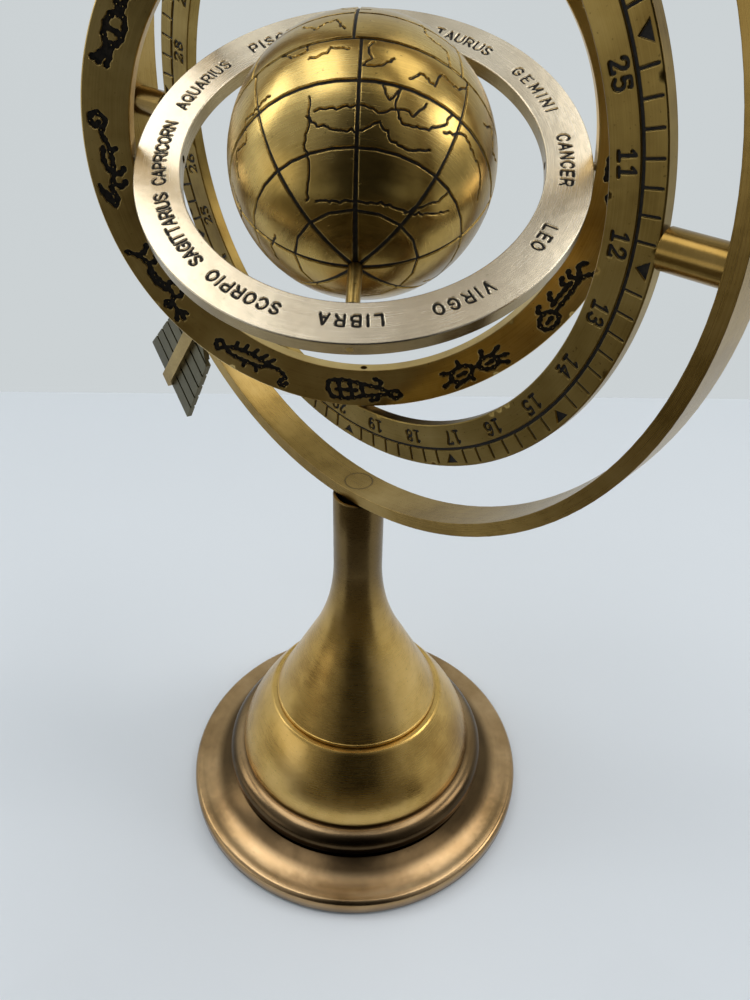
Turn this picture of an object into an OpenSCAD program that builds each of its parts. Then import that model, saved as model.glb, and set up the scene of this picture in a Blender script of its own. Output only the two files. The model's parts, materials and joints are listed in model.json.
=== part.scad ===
// Desk armillary sphere: a turned brass stem carries a fixed outer ring, and
// three rings and a globe turn inside it, each on pins at right angles to the last.
// Origin: centre of the foot's underside. +Z up, +X along the hour ring's pivot axis.

/* [Base] */
// Outer diameter of the foot
foot_d = 120; // [110:1:140]
// Height of the foot where the bead ring sits on it
foot_h = 9.2; // [8:0.1:11]
// Thickness of the felt disc under the foot
felt_t = 1.5; // [1:0.1:2]
// Greatest diameter of the bead ring
bead_d = 92.6; // [90:0.2:96]
// Height of the top of the bead ring
bead_top = 19.4; // [18:0.1:21]
// Height of the top of the bell
bell_top = 43.8; // [42:0.1:46]
// Diameter of the bell at its foot
bell_d = 82; // [78:0.5:84]
// Diameter of the bell at its top
bell_top_d = 59; // [56:0.5:64]
// How full the bell's outline is, from a cone at 1
bell_bulge = 1.6; // [1:0.1:2.5]

/* [Stem] */
// Height of the stem's open mouth
stem_top = 127.3; // [120:0.1:140]
// Outer diameter of the stem's tube
tube_d = 15.2; // [14:0.1:16]
// Inner diameter of the stem's tube at the mouth
tube_bore_d = 13.2; // [12.8:0.1:13.6]
// Diameter of the stem's flared edge
flare_d = 55.4; // [52:0.2:58]
// Height at which the flare starts to leave the tube
flare_start = 101; // [98:0.5:104]
// Radius of the flare's arc
flare_arc = 70; // [65:1:80]
// Diameter of the tie rod
tie_d = 5; // [4:0.1:6]

/* [Outer ring] */
// Inner radius of the outer ring
outer_in = 88.5; // [88:0.1:90]
// Thickness of the outer ring's strap
outer_t = 3.6; // [2:0.1:4]
// Width of the outer ring's strap
outer_w = 10.5; // [9:0.1:12]
// Gap between the stem's mouth and the outer ring
mouth_gap = 0.5; // [0.5:0.1:2]

/* [Turning rings] */
// Inner radius of the hour ring
hour_in = 63.7; // [63.6:0.1:64]
// Outer radius of the hour ring
hour_out = 75; // [74:0.1:76]
// Thickness of the hour ring
hour_t = 3.2; // [3:0.1:3.6]
// Inner radius of the figures ring
figures_in = 52.3; // [52.2:0.1:52.6]
// Outer radius of the figures ring
figures_out = 63; // [62.6:0.1:63.1]
// Thickness of the figures ring
figures_t = 3.9; // [3.4:0.1:4.2]
// Inner radius of the names ring
names_in = 41.1; // [40:0.1:42]
// Outer radius of the names ring
names_out = 51.6; // [51:0.1:51.7]
// Thickness of the names ring
names_t = 3.8; // [3.4:0.1:4.2]
// Turn of the hour ring from the outer ring's plane
hour_turn = 1.5; // [-90:0.5:90]
// Turn of the figures ring from the hour ring's plane
figures_turn = 41.4; // [-90:0.1:90]
// Turn of the names ring from the figures ring's plane
names_turn = 62.9; // [-90:0.1:90]

/* [Globe] */
// Outer radius of the globe
globe_r = 30.4; // [29:0.1:32]
// Wall of the globe's two half shells
globe_wall = 1.2; // [1:0.1:2]
// Diameter of the globe's axle rod
axle_d = 1.6; // [1.4:0.1:1.8]
// Diameter of the spacer sleeves on the axle
sleeve_d = 3.1; // [2.8:0.1:3.6]

/* [Pivots] */
// Diameter of the two pivot posts of the outer ring
post_d = 7.8; // [7:0.1:9]
// Diameter of the ring pins
pin_d = 1.8; // [1.6:0.1:2]
// Radial clearance of each pin in the hole it turns in
running = 0.05; // [0.02:0.01:0.1]

/* [Arrow] */
// Lean of the arrow from level, in the outer ring's plane
arrow_angle = 52.5; // [40:0.5:70]
// Distance of the arrow's line from the ring's centre
arrow_offset = 19; // [0:0.5:30]
// Distance along the arrow from its middle to either end
arrow_half = 130; // [120:1:140]
// Thickness of the arrow's square shaft
shaft_t = 5; // [4:0.1:6]
// Roll of the vanes and the head about the shaft
arrow_roll = -9; // [-45:1:45]
// Width of a vane at its back end
vane_w = 13; // [10:0.5:16]
// Thickness of the vanes and the head
vane_t = 1.8; // [1.4:0.1:2.4]

/* [Hidden] */
$fn = 96;

// Base
foot_r = foot_d / 2;
foot_lift = 0.5;                 // rim of the foot above the table, on its felt
foot_wall = 2.4;
felt_r = foot_r - 2.6;
bead_r = bead_d / 2;
bead_arc = (bead_top - foot_h) / 2;
bead_in = 34;
bell_r = bell_d / 2;
bell_wall = 1.6;
bell_foot_h = 1.6;               // thickness of the bell's turned-in foot
flare_edge = 1.4;                // thickness of the stem's flared edge
// Stem
tube_r = tube_d / 2;
tube_bore = tube_bore_d / 2;
ledge_z = 100;                   // shoulder inside the tube that the bush rests on
ledge_bore = 5.4;
bush_h = 12;
cone_z = 68;                     // height where the flare's arc runs into its cone
tie_r = tie_d / 2;
tie_bottom = felt_t + 0.6;
tie_grip = 9;                    // length of the tie rod inside the ring post
web_under = foot_h - foot_wall;  // underside of the foot's web
washer_h = 1.2;
washer_r = 8;
nut_r = 5;
nut_h = 3;
tie_clear = 0.1;
// Outer ring
outer_out = outer_in + outer_t;
centre_z = stem_top + mouth_gap + outer_out;
post_body_r = 4.8;
post_tenon_r = 4;
pivot_tenon_r = 2.5;
pivot_gap = 0.6;                 // from the hour ring's edge to a pivot post
pin_r = pin_d / 2;
pin_bore = pin_r + running;
pin_recess = 3.4;                // from a ring's inner edge to the end of its pin
hour_pin_grip = 7;               // length of a pivot pin inside its post
post_r = post_d / 2;
// Globe
axle_r = axle_d / 2;
sleeve_r = sleeve_d / 2;
sleeve_gap = 0.3;                // end play of the sleeves at the names ring
// Arrow
arrow_tenon_r = 1.7;
ring_cross = sqrt(outer_out * outer_out - arrow_offset * arrow_offset);
vane_front = -ring_cross - 5;
vane_taper = 3.8;                // loss of vane width from back to front
vane_grooves = 5;
groove_w = 1;
groove_depth = 0.45;
head_back = ring_cross + 17;
head_w = 15;
head_barb = 5;                   // how far the head's barbs reach back past its neck
eps = 0.01;

brass = [0.66, 0.52, 0.27];
dark_brass = [0.45, 0.36, 0.2];
bright_brass = [0.85, 0.75, 0.52];
iron = [0.3, 0.3, 0.3];

// Radius of the stem's outside at height z: tube, arc and cone in turn.
function arc_r(z) = tube_r + flare_arc - sqrt(flare_arc * flare_arc - pow(flare_start - z, 2));
function cone_slope() = (flare_d / 2 - arc_r(cone_z)) / (cone_z - bell_top - flare_edge);
// Height and radius of the bell's outside, with t from 0 at its foot to 1 at its top.
function bell_z(t) = bead_top + t * (bell_top - bead_top);
function bell_out(t) = bell_r - (bell_r - bell_top_d / 2) * pow(t, bell_bulge);

// ---- frames: each turning ring's own frame, with its axis along Z ----
module at_centre() { translate([0, 0, centre_z]) children(); }
module in_outer() { at_centre() rotate([90, 0, 0]) children(); }
module in_hour() { in_outer() rotate([hour_turn, 0, 0]) children(); }
module in_figures() { in_hour() rotate([0, 0, 90]) rotate([figures_turn, 0, 0]) children(); }
module in_names() { in_figures() rotate([0, 0, 90]) rotate([names_turn, 0, 0]) children(); }
module in_arrow() { at_centre() rotate([0, -arrow_angle, 0]) translate([0, 0, arrow_offset]) children(); }

// ---- shapes that repeat ----
module flat_ring(inner, outer, thick) {
    rotate_extrude() translate([inner, -thick / 2]) square([outer - inner, thick]);
}
// A round bar along +X from radius a to radius b.
module radial_bar(r, a, b) {
    translate([a, 0, 0]) rotate([0, 90, 0]) cylinder(r = r, h = b - a);
}
// Two opposite radial holes through a ring, along X.
module radial_holes(r, inner, outer) {
    for (side = [0, 180]) rotate([0, 0, side]) radial_bar(r, inner - 2, outer + 2);
}
// The cylinders of the outer ring's two curved faces.
module outer_cylinder(r) {
    in_outer() translate([0, 0, -outer_w]) cylinder(r = r, h = 2 * outer_w);
}

// ---- base ----
module foot() {
    color(brass) difference() {
        rotate_extrude() polygon(concat(
            [[0, web_under], [28, web_under], [felt_r - 7, 4.4], [felt_r, felt_t],
             [felt_r, foot_lift], [foot_r - 1, foot_lift], [foot_r, foot_lift + 1]],
            [for (a = [0:15:75]) [foot_r - 2.2 + 2.2 * cos(a), 4.2 + 2.2 * sin(a)]],
            [for (t = [0:0.125:1]) [
                foot_r - 3.4 - t * (foot_r - 3.4 - bead_r + 1),
                6.3 + (foot_h - 6.3) * pow(t, 1.8)]],
            [[0, foot_h]]));
        cylinder(r = tie_r + tie_clear, h = 3 * foot_h, center = true);
    }
}
module felt_pad() {
    color("darkgreen") cylinder(r = felt_r - 0.1, h = felt_t);
}
module bead_ring() {
    color(brass) rotate_extrude() polygon(concat(
        [[bead_in, foot_h]],
        [for (a = [-90:10:90]) [bead_r - bead_arc + bead_arc * cos(a),
                                foot_h + bead_arc + bead_arc * sin(a)]],
        [[bead_in, bead_top]]));
}
module bell() {
    steps = [0:0.1:1];
    color(brass) rotate_extrude() polygon(concat(
        [[bead_in + 1, bead_top]],
        [for (t = steps) [bell_out(t), bell_z(t)]],
        [[tie_r + 6, bell_top], [tie_r + 6, bell_top - bell_wall]],
        [for (t = steps) [bell_out(1 - t) - bell_wall,
                          bell_z(1 - t) - bell_wall + (bell_foot_h + bell_wall) * t]],
        [[bead_in + 1, bead_top + bell_foot_h]]));
}
module trumpet_stem() {
    wall = tube_r - tube_bore;
    cone_low = bell_top + flare_edge;
    color(brass) rotate_extrude() polygon(concat(
        [[flare_d / 2, bell_top], [flare_d / 2, cone_low]],
        [for (z = [cone_z:3:flare_start - 0.1]) [arc_r(z), z]],
        [[tube_r, flare_start], [tube_r, stem_top - 0.3], [tube_r - 0.3, stem_top],
         [tube_bore, stem_top], [tube_bore, ledge_z], [ledge_bore, ledge_z],
         [ledge_bore, ledge_z - 6]],
        [for (z = [ledge_z - 12:-4:cone_z]) [arc_r(z) - 2 * wall, z]],
        [[arc_r(cone_z) + cone_slope() * (cone_z - bell_top - 6) - 2 * wall, bell_top + 6],
         [flare_d / 2 - 7, bell_top]]));
}
module stem_bush() {
    color(dark_brass) translate([0, 0, ledge_z]) difference() {
        cylinder(r = tube_bore, h = bush_h);
        translate([0, 0, -1]) cylinder(r = tie_r + tie_clear, h = bush_h + 2);
    }
}
module tie_rod() {
    top = ledge_z + bush_h + tie_grip;
    color("silver") translate([0, 0, tie_bottom]) cylinder(r = tie_r, h = top - tie_bottom);
}
module tie_washer() {
    color("silver") translate([0, 0, web_under - washer_h]) difference() {
        cylinder(r = washer_r, h = washer_h);
        translate([0, 0, -1]) cylinder(r = tie_r + tie_clear, h = washer_h + 2);
    }
}
module tie_nut() {
    color("silver") translate([0, 0, web_under - washer_h - nut_h]) difference() {
        cylinder(r = nut_r, h = nut_h, $fn = 6);
        translate([0, 0, -1]) cylinder(r = tie_r, h = nut_h + 2, $fn = 96);
    }
}
module ring_post() {
    low = ledge_z + bush_h;
    color(brass) difference() {
        union() {
            difference() {
                translate([0, 0, low]) cylinder(r = post_body_r, h = centre_z - outer_in - low);
                outer_cylinder(outer_out);
            }
            difference() {
                translate([0, 0, low]) cylinder(r = post_tenon_r, h = centre_z - low - outer_in + 2);
                outer_cylinder(outer_in);
            }
        }
        translate([0, 0, low - 1]) cylinder(r = tie_r, h = tie_grip + 1);
    }
}

// ---- outer ring, fixed ----
module outer_ring() {
    color(brass) difference() {
        in_outer() flat_ring(outer_in, outer_out, outer_w);
        in_outer() radial_holes(pivot_tenon_r, outer_in, outer_out);
        translate([0, 0, stem_top]) cylinder(r = post_tenon_r, h = 8);
        for (end = [-1, 1]) in_arrow() radial_bar(arrow_tenon_r, end * ring_cross - 5, end * ring_cross + 5);
    }
}
// A pivot post on the +X side: body, riveted tenon and a blind hole for its pin.
module pivot_post() {
    inner_end = hour_out + pivot_gap;
    color(brass) at_centre() difference() {
        union() {
            intersection() {
                radial_bar(post_r, inner_end, outer_in + 1);
                rotate([90, 0, 0]) cylinder(r = outer_in, h = 3 * post_r, center = true);
            }
            intersection() {
                radial_bar(pivot_tenon_r, inner_end + 1, outer_out + 1);
                rotate([90, 0, 0]) cylinder(r = outer_out, h = 3 * post_r, center = true);
            }
        }
        radial_bar(pin_r, inner_end - 1, inner_end + hour_pin_grip);
    }
}
module pivot_pin() {
    color("silver") at_centre()
        radial_bar(pin_r, hour_in + pin_recess, hour_out + pivot_gap + hour_pin_grip);
}
module near_pivot_post() { pivot_post(); }
module far_pivot_post() { rotate([0, 0, 180]) pivot_post(); }
module near_pivot_pin() { pivot_pin(); }
module far_pivot_pin() { rotate([0, 0, 180]) pivot_pin(); }

// ---- arrow, in two halves on the outer ring ----
module arrow_bar(from, to) {
    difference() {
        in_arrow() rotate([arrow_roll, 0, 0]) translate([min(from, to), -shaft_t / 2, -shaft_t / 2])
            cube([abs(to - from), shaft_t, shaft_t]);
        outer_cylinder(outer_out);
    }
}
module arrow_tenon(side) {
    intersection() {
        in_arrow() radial_bar(arrow_tenon_r, side * ring_cross - 6, side * ring_cross + 6);
        difference() {
            outer_cylinder(outer_out + 2);
            outer_cylinder(outer_in);
        }
    }
}
module arrow_tail_shaft() {
    color(brass) union() {
        arrow_bar(-arrow_half, -ring_cross + 6);
        arrow_tenon(-1);
    }
}
module arrow_vane(side) {
    length = vane_front + arrow_half;
    color(brass) in_arrow() rotate([arrow_roll, 0, 0]) difference() {
        rotate([90, 0, 0]) linear_extrude(height = vane_t, center = true) polygon([
            [-arrow_half, side * shaft_t / 2],
            [-arrow_half, side * (shaft_t / 2 + vane_w)],
            [vane_front - vane_w / 2, side * (shaft_t / 2 + vane_w - vane_taper)],
            [vane_front, side * shaft_t / 2]]);
        for (k = [1:vane_grooves]) for (face = [-1, 1])
            translate([-arrow_half + k * length / (vane_grooves + 1), face * vane_t / 2, side * (shaft_t + vane_w)])
                cube([groove_w, 2 * groove_depth, 2 * vane_w + shaft_t], center = true);
    }
}
module arrow_vane_left() { arrow_vane(1); }
module arrow_vane_right() { arrow_vane(-1); }
module arrow_head_shaft() {
    color(brass) union() {
        arrow_bar(ring_cross - 6, head_back + head_barb);
        arrow_tenon(1);
    }
}
module arrow_head() {
    neck = head_back + head_barb;
    color(brass) in_arrow() rotate([arrow_roll, 0, 0]) rotate([90, 0, 0])
        linear_extrude(height = shaft_t, center = true) polygon([
            [neck, -shaft_t / 2], [neck, shaft_t / 2], [head_back, shaft_t / 2 + 1],
            [head_back - head_barb, head_w / 2], [arrow_half, 0],
            [head_back - head_barb, -head_w / 2], [head_back, -shaft_t / 2 - 1]]);
}

// ---- turning rings ----
// A ring with running holes along X and press holes along Y.
module pivoted_ring(inner, outer, thick) {
    difference() {
        flat_ring(inner, outer, thick);
        radial_holes(pin_bore, inner, outer);
        rotate([0, 0, 90]) radial_holes(pin_r, inner, outer);
    }
}
// A pin pressed in its ring's +Y side, reaching into the next ring inwards.
module ring_pin(next_in, outer) {
    color("silver") rotate([0, 0, 90]) radial_bar(pin_r, next_in + pin_recess, outer - 0.3);
}
module hour_ring() { color(brass) in_hour() pivoted_ring(hour_in, hour_out, hour_t); }
module upper_hour_pin() { in_hour() ring_pin(figures_in, hour_out); }
module lower_hour_pin() { in_hour() rotate([0, 0, 180]) ring_pin(figures_in, hour_out); }
module figures_ring() { color(dark_brass) in_figures() pivoted_ring(figures_in, figures_out, figures_t); }
module left_figures_pin() { in_figures() ring_pin(names_in, figures_out); }
module right_figures_pin() { in_figures() rotate([0, 0, 180]) ring_pin(names_in, figures_out); }
module names_ring() {
    color(bright_brass) in_names() difference() {
        flat_ring(names_in, names_out, names_t);
        radial_holes(pin_bore, names_in, names_out);
        rotate([0, 0, 90]) radial_holes(axle_r + running, names_in, names_out);
    }
}

// ---- globe, on an axle along the names ring's Y ----
// Half a hollow globe, with its pole on +Y.
module globe_half() {
    color(brass) rotate([-90, 0, 0]) difference() {
        sphere(r = globe_r);
        sphere(r = globe_r - globe_wall);
        translate([0, 0, -2 * globe_r]) cube(4 * globe_r, center = true);
        cylinder(r = axle_r, h = 2 * globe_r);
    }
}
module globe_sleeve() {
    color(bright_brass) rotate([0, 0, 90]) difference() {
        radial_bar(sleeve_r, 0, names_in - sleeve_gap);
        sphere(r = globe_r);
        radial_bar(axle_r, 0, names_out);
    }
}
module globe_front_half() { in_names() globe_half(); }
module globe_back_half() { in_names() rotate([0, 0, 180]) globe_half(); }
module globe_axle() {
    color(bright_brass) in_names() rotate([0, 0, 90]) radial_bar(axle_r, -names_out, names_out);
}
module globe_front_sleeve() { in_names() globe_sleeve(); }
module globe_back_sleeve() { in_names() rotate([0, 0, 180]) globe_sleeve(); }

foot();
felt_pad();
bead_ring();
bell();
trumpet_stem();
stem_bush();
tie_rod();
tie_washer();
tie_nut();
ring_post();
outer_ring();
near_pivot_post();
far_pivot_post();
near_pivot_pin();
far_pivot_pin();
arrow_tail_shaft();
arrow_vane_left();
arrow_vane_right();
arrow_head_shaft();
arrow_head();
hour_ring();
upper_hour_pin();
lower_hour_pin();
figures_ring();
left_figures_pin();
right_figures_pin();
names_ring();
globe_front_half();
globe_back_half();
globe_axle();
globe_front_sleeve();
globe_back_sleeve();
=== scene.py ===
import json
import math
import bpy
from mathutils import Matrix, Vector, noise
from mathutils.geometry import delaunay_2d_cdt


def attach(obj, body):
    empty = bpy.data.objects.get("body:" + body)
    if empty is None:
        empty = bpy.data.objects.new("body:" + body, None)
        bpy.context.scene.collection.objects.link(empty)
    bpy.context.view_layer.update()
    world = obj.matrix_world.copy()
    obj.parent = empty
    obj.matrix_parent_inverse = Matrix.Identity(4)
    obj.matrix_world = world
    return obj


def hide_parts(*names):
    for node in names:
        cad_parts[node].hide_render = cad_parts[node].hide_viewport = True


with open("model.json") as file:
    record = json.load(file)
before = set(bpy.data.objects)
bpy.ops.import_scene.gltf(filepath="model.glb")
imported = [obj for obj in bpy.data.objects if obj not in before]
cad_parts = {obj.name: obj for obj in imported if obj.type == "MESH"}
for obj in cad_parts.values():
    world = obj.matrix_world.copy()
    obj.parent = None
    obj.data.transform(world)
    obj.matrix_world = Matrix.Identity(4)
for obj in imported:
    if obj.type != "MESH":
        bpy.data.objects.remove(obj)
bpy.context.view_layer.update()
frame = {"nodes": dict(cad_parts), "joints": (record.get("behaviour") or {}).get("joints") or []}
NODES = frame["nodes"]
MM = 0.001
TAU = 2 * math.pi

# ---------------------------------------------------------------- frames
JOINTS = {j["name"]: j for j in frame["joints"]}
CENTRE = Vector(JOINTS["hour_ring_turn"]["pos_m"])
A1, A2, A3, A4 = (Vector(JOINTS[n]["axis"]).normalized() for n in
                  ("hour_ring_turn", "figures_ring_turn", "names_ring_turn", "globe_spin"))


def ring_frame(x, y):
    z = x.cross(y).normalized()
    m = Matrix((x, z.cross(x), z)).transposed().to_4x4()
    m.translation = CENTRE
    return m


IN_HOUR, IN_FIGURES, IN_NAMES = ring_frame(A1, A2), ring_frame(A2, A3), ring_frame(A3, A4)


# ---------------------------------------------------------------- materials
def node(nt, kind, **values):
    n = nt.nodes.new(kind)
    for k, v in values.items():
        if k in n.inputs:
            n.inputs[k].default_value = v
        else:
            setattr(n, k, v)
    return n


def maths(nt, op, a, b=None):
    n = node(nt, "ShaderNodeMath", operation=op)
    for i, v in enumerate((a, b)):
        if v is None:
            continue
        if isinstance(v, (int, float)):
            n.inputs[i].default_value = v
        else:
            nt.links.new(v, n.inputs[i])
    return n.outputs[0]


def ramp(nt, factor, stops):
    n = node(nt, "ShaderNodeValToRGB")
    el = n.color_ramp.elements
    for i, (at, c) in enumerate(stops):
        e = el[i] if i < 2 else el.new(at)
        e.position = at
        e.color = (*c, 1) if len(c) == 3 else c
    nt.links.new(factor, n.inputs[0])
    return n.outputs[0]


def mixed(nt, factor, a, b, mode="MIX"):
    n = node(nt, "ShaderNodeMix", data_type="RGBA", blend_type=mode)
    for i, v in ((0, factor), (6, a), (7, b)):
        if isinstance(v, (int, float)):
            n.inputs[i].default_value = v
        elif isinstance(v, tuple):
            n.inputs[i].default_value = (*v, 1)
        else:
            nt.links.new(v, n.inputs[i])
    return n.outputs[2]


def noise_tex(nt, vector, scale, detail=2.0, rough=0.5):
    n = node(nt, "ShaderNodeTexNoise", Scale=scale, Detail=detail, Roughness=rough)
    nt.links.new(vector, n.inputs["Vector"])
    return n.outputs["Fac"]


def brass(name, light, mid, dark, rough=0.3, brush=True, lines=1.0, bevel=0.25, spread=0.5, aniso=0.0,
          turn=None, spots=1.0, edge=0.35, grime_and_shade=0.0, deep=4, recess=None, duller_with_height=None, seam=None,
          scratch=1.0):
    """Antiqued brass: patina blotches, brushing round the axis, small dark specks and lighter edges, partly wear and
    partly a painted highlight.
    """
    m = bpy.data.materials.new(name)
    m.use_nodes = True
    nt = m.node_tree
    out = nt.nodes["Principled BSDF"]
    out.inputs["Metallic"].default_value = 1.0
    if aniso:
        out.inputs["Anisotropic"].default_value = aniso
        tan = node(nt, "ShaderNodeTangent", direction_type="UV_MAP", uv_map="turn")
        nt.links.new(tan.outputs[0], out.inputs["Tangent"])
    tex = node(nt, "ShaderNodeTexCoord").outputs["Object"]
    if turn is not None:
        place = node(nt, "ShaderNodeMapping", vector_type="TEXTURE")
        place.inputs["Location"].default_value = turn.to_translation()
        place.inputs["Rotation"].default_value = turn.to_euler("XYZ")
        nt.links.new(tex, place.inputs["Vector"])
        tex = place.outputs[0]
    sep = node(nt, "ShaderNodeSeparateXYZ")
    nt.links.new(tex, sep.inputs[0])
    x, y, z = sep.outputs
    radius = maths(nt, "SQRT", maths(nt, "ADD", maths(nt, "MULTIPLY", x, x), maths(nt, "MULTIPLY", y, y)))
    cosine = maths(nt, "DIVIDE", x, maths(nt, "MAXIMUM", radius, 0.0005))
    sine = maths(nt, "DIVIDE", y, maths(nt, "MAXIMUM", radius, 0.0005))
    # brushing: streaks long round the axis and fine across it
    comb = node(nt, "ShaderNodeCombineXYZ")
    nt.links.new(maths(nt, "MULTIPLY", maths(nt, "ADD", radius, maths(nt, "MULTIPLY", z, 1.37)), 5200 * lines),
                 comb.inputs[0])
    nt.links.new(maths(nt, "MULTIPLY", cosine, 3.5), comb.inputs[1])
    nt.links.new(maths(nt, "MULTIPLY", sine, 3.5), comb.inputs[2])
    streak = noise_tex(nt, comb.outputs[0], 1.0, 3.0, 0.65)
    if not brush:
        streak = noise_tex(nt, tex, 900.0, 2.0)
    blotch = noise_tex(nt, tex, 42.0, 4.0, 0.6)
    wide = noise_tex(nt, tex, 13.0, 2.0, 0.5)
    tone = maths(nt, "ADD", maths(nt, "MULTIPLY", blotch, 0.55), maths(nt, "MULTIPLY", wide, 0.45))
    tone = maths(nt, "ADD", tone, maths(nt, "MULTIPLY", maths(nt, "SUBTRACT", streak, 0.5), 0.16 * scratch))
    colour = ramp(nt, tone, [(0.5 - 0.3 * spread, dark), (0.5 + 0.3 * spread, light), (0.5, mid)])
    speck = noise_tex(nt, tex, 1500.0, 1.0)
    colour = mixed(nt, maths(nt, "MULTIPLY", ramp(nt, speck, [(0.70, (0, 0, 0)), (0.78, (1, 1, 1))]), 0.5 * spots),
                   colour, tuple(c * 0.35 for c in dark))
    # lighter edges, partly wear and partly a painted highlight: where a rounded normal leaves the true one
    bev = node(nt, "ShaderNodeBevel", samples=4, Radius=bevel * MM)
    geo = node(nt, "ShaderNodeNewGeometry")
    dot = node(nt, "ShaderNodeVectorMath", operation="DOT_PRODUCT")
    nt.links.new(bev.outputs[0], dot.inputs[0])
    nt.links.new(geo.outputs["Normal"], dot.inputs[1])
    worn_and_highlit = ramp(nt, dot.outputs["Value"], [(0.80, (1, 1, 1)), (0.985, (0, 0, 0))])
    colour = mixed(nt, maths(nt, "MULTIPLY", worn_and_highlit, edge), colour, tuple(min(1.0, c * 1.25) for c in light))
    # painted shade, partly dark patina in hollows: colour darkened where ambient occlusion finds crevices, under the
    # bead and between parts
    if grime_and_shade:
        ao = node(nt, "ShaderNodeAmbientOcclusion", samples=4, Distance=deep * MM)
        crevice_shade = ramp(nt, ao.outputs["AO"], [(0.25, (1, 1, 1)), (0.75, (0, 0, 0))])
        colour = mixed(nt, maths(nt, "MULTIPLY", crevice_shade, grime_and_shade), colour, tuple(c * 0.2 for c in dark))
    if recess:
        # painted shade in the groove below the bell and on the bead's lower half, where the undercut lies in shadow and
        # mirrors the dark foot: outside and inside radius, then top and bottom height
        masks = []
        for value, lo, hi in ((radius, recess[0], recess[1]), (z, recess[2], recess[3])):
            mr = node(nt, "ShaderNodeMapRange", interpolation_type="SMOOTHSTEP")
            mr.inputs["From Min"].default_value, mr.inputs["From Max"].default_value = lo * MM, hi * MM
            nt.links.new(value, mr.inputs["Value"])
            masks.append(mr.outputs[0])
        uneven = ramp(nt, blotch, [(0.3, (0.75, 0.75, 0.75)), (0.6, (1, 1, 1))])
        groove_shade = maths(nt, "MULTIPLY", maths(nt, "MULTIPLY", masks[0], masks[1]), uneven)
        colour = mixed(nt, maths(nt, "MULTIPLY", groove_shade, 0.93), colour, tuple(c * 0.18 for c in dark))
    if duller_with_height:
        # a duller brown that sets in with height
        low, high, shade, amount = duller_with_height
        mr = node(nt, "ShaderNodeMapRange", interpolation_type="SMOOTHSTEP")
        mr.inputs["From Min"].default_value, mr.inputs["From Max"].default_value = low * MM, high * MM
        nt.links.new(maths(nt, "ADD", z, maths(nt, "MULTIPLY", wide, 0.012)), mr.inputs["Value"])
        colour = mixed(nt, maths(nt, "MULTIPLY", mr.outputs[0], amount), colour, shade)
    if seam:
        # dark hairline round the riveted end of the post, about the stem's axis
        raw = node(nt, "ShaderNodeSeparateXYZ")
        nt.links.new(node(nt, "ShaderNodeTexCoord").outputs["Object"], raw.inputs[0])
        sx, sy, sz = raw.outputs
        off = maths(nt, "SQRT", maths(nt, "ADD", maths(nt, "MULTIPLY", sx, sx), maths(nt, "MULTIPLY", sy, sy)))
        off = maths(nt, "ABSOLUTE", maths(nt, "SUBTRACT", off, seam * MM))
        line = maths(nt, "MULTIPLY", ramp(nt, maths(nt, "MULTIPLY", off, 1000), [(0.10, (1, 1, 1)), (0.32, (0, 0, 0))]),
                     maths(nt, "LESS_THAN", sz, 0.2))
        colour = mixed(nt, maths(nt, "MULTIPLY", line, 0.75), colour, tuple(c * 0.3 for c in dark))
    nt.links.new(colour, out.inputs["Base Color"])
    r = maths(nt, "ADD", rough - 0.09, maths(nt, "MULTIPLY", streak, 0.10))
    r = maths(nt, "ADD", r, maths(nt, "MULTIPLY", blotch, 0.10))
    nt.links.new(r, out.inputs["Roughness"])
    bump = node(nt, "ShaderNodeBump", Strength=0.12 * scratch, Distance=0.00004)
    nt.links.new(streak, bump.inputs["Height"])
    nt.links.new(bev.outputs[0], bump.inputs["Normal"])
    wobble = node(nt, "ShaderNodeBump", Strength=0.25, Distance=0.0003)
    nt.links.new(noise_tex(nt, tex, 160.0, 2.0), wobble.inputs["Height"])
    nt.links.new(bump.outputs[0], wobble.inputs["Normal"])
    nt.links.new(wobble.outputs[0], out.inputs["Normal"])
    return m


def filled(name, colour, light, rough=0.55, scale=1400.0):
    """Blackened recess or dull dark metal with small lighter crumbs."""
    m = bpy.data.materials.new(name)
    m.use_nodes = True
    nt = m.node_tree
    out = nt.nodes["Principled BSDF"]
    out.inputs["Specular IOR Level"].default_value = 0.2
    tex = node(nt, "ShaderNodeTexCoord").outputs["Object"]
    n = noise_tex(nt, tex, scale, 3.0, 0.6)
    nt.links.new(ramp(nt, n, [(0.35, colour), (0.75, light)]), out.inputs["Base Color"])
    nt.links.new(maths(nt, "ADD", rough - 0.1, maths(nt, "MULTIPLY", n, 0.2)), out.inputs["Roughness"])
    bump = node(nt, "ShaderNodeBump", Strength=0.4, Distance=0.00008)
    nt.links.new(n, bump.inputs["Height"])
    nt.links.new(bump.outputs[0], out.inputs["Normal"])
    return m


def felt(name):
    m = bpy.data.materials.new(name)
    m.use_nodes = True
    nt = m.node_tree
    out = nt.nodes["Principled BSDF"]
    out.inputs["Roughness"].default_value = 0.95
    out.inputs["Sheen Weight"].default_value = 0.5
    tex = node(nt, "ShaderNodeTexCoord").outputs["Object"]
    fine, soft = noise_tex(nt, tex, 1800.0, 4.0, 0.7), noise_tex(nt, tex, 120.0, 2.0)
    tone = maths(nt, "ADD", maths(nt, "MULTIPLY", fine, 0.7), maths(nt, "MULTIPLY", soft, 0.3))
    nt.links.new(ramp(nt, tone, [(0.3, (0.010, 0.024, 0.015)), (0.7, (0.035, 0.075, 0.045))]), out.inputs["Base Color"])
    bump = node(nt, "ShaderNodeBump", Strength=0.8, Distance=0.0003)
    nt.links.new(fine, bump.inputs["Height"])
    nt.links.new(bump.outputs[0], out.inputs["Normal"])
    return m


# the recess numbers here paint shade in the groove between the bell and the bead
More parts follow.
